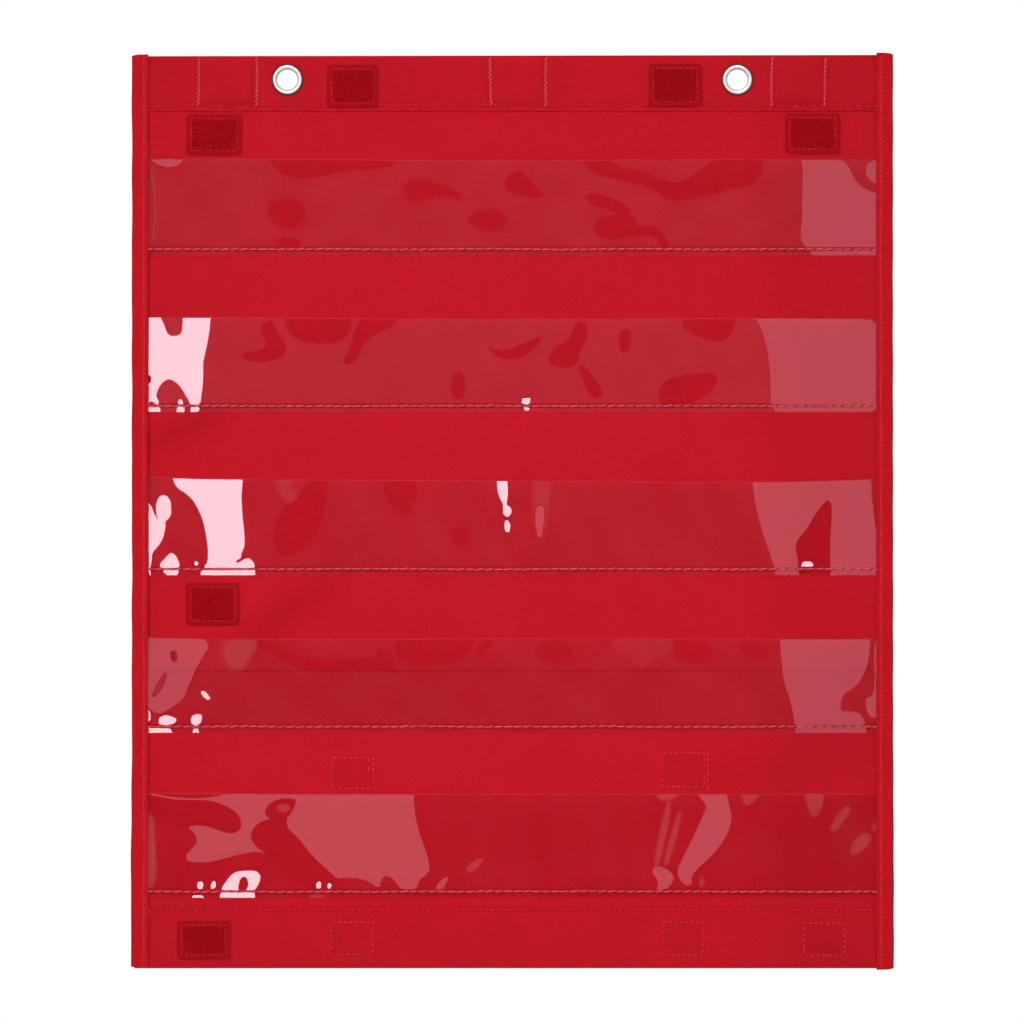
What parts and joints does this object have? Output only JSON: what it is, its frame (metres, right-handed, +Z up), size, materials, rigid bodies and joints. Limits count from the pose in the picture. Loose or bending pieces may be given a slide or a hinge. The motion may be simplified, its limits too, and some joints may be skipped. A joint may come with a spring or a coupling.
{
  "type": "wall pocket organizer",
  "caption": "Cloth wall chart with rows of clear open-topped pockets, taped sides, hemmed ends, metal eyelets, magnets in the top hem and hook-and-loop patches.",
  "frame": {"origin": "on the wall's plane, half way between the two eyelets' axes", "axes": "+X to the right seen from the front, +Y back into the wall, +Z up; the front faces -Y"},
  "size_m": [0.356, 0.0108, 0.4285],
  "materials": {
    "cloth": "matt",
    "tape": "matt",
    "loop": "matt",
    "hook": "matt",
    "film": "gloss",
    "eyelet_metal": "polished",
    "magnet": "matt",
    "seam_thread": "satin",
    "hem_thread": "satin"
  },
  "bodies": {
    "root": {"chart_cloth": "cloth", "side_tape_left": "tape", "side_tape_right": "tape", "pocket_film_1": "film", "pocket_film_2": "film", "pocket_film_3": "film", "pocket_film_4": "film", "pocket_film_5": "film", "eyelet_left": "eyelet_metal", "eyelet_right": "eyelet_metal", "eyelet_washer_left": "eyelet_metal", "eyelet_washer_right": "eyelet_metal", "loop_patch_1": "loop", "loop_patch_2": "loop", "loop_patch_3": "loop", "loop_patch_4": "loop", "loop_patch_5": "loop", "loop_patch_6": "loop", "hook_patch_1": "hook", "hook_patch_2": "hook", "hook_patch_3": "hook", "hook_patch_4": "hook", "hook_patch_5": "hook", "hem_magnet_left": "magnet", "hem_magnet_middle": "magnet", "hem_magnet_right": "magnet", "pocket_seam_thread_1": "seam_thread", "pocket_seam_thread_2": "seam_thread", "pocket_seam_thread_3": "seam_thread", "pocket_seam_thread_4": "seam_thread", "pocket_seam_thread_5": "seam_thread", "top_hem_thread": "hem_thread", "bottom_hem_thread": "hem_thread", "tape_thread_left": "hem_thread", "tape_thread_right": "hem_thread"}
  },
  "joints": []
}
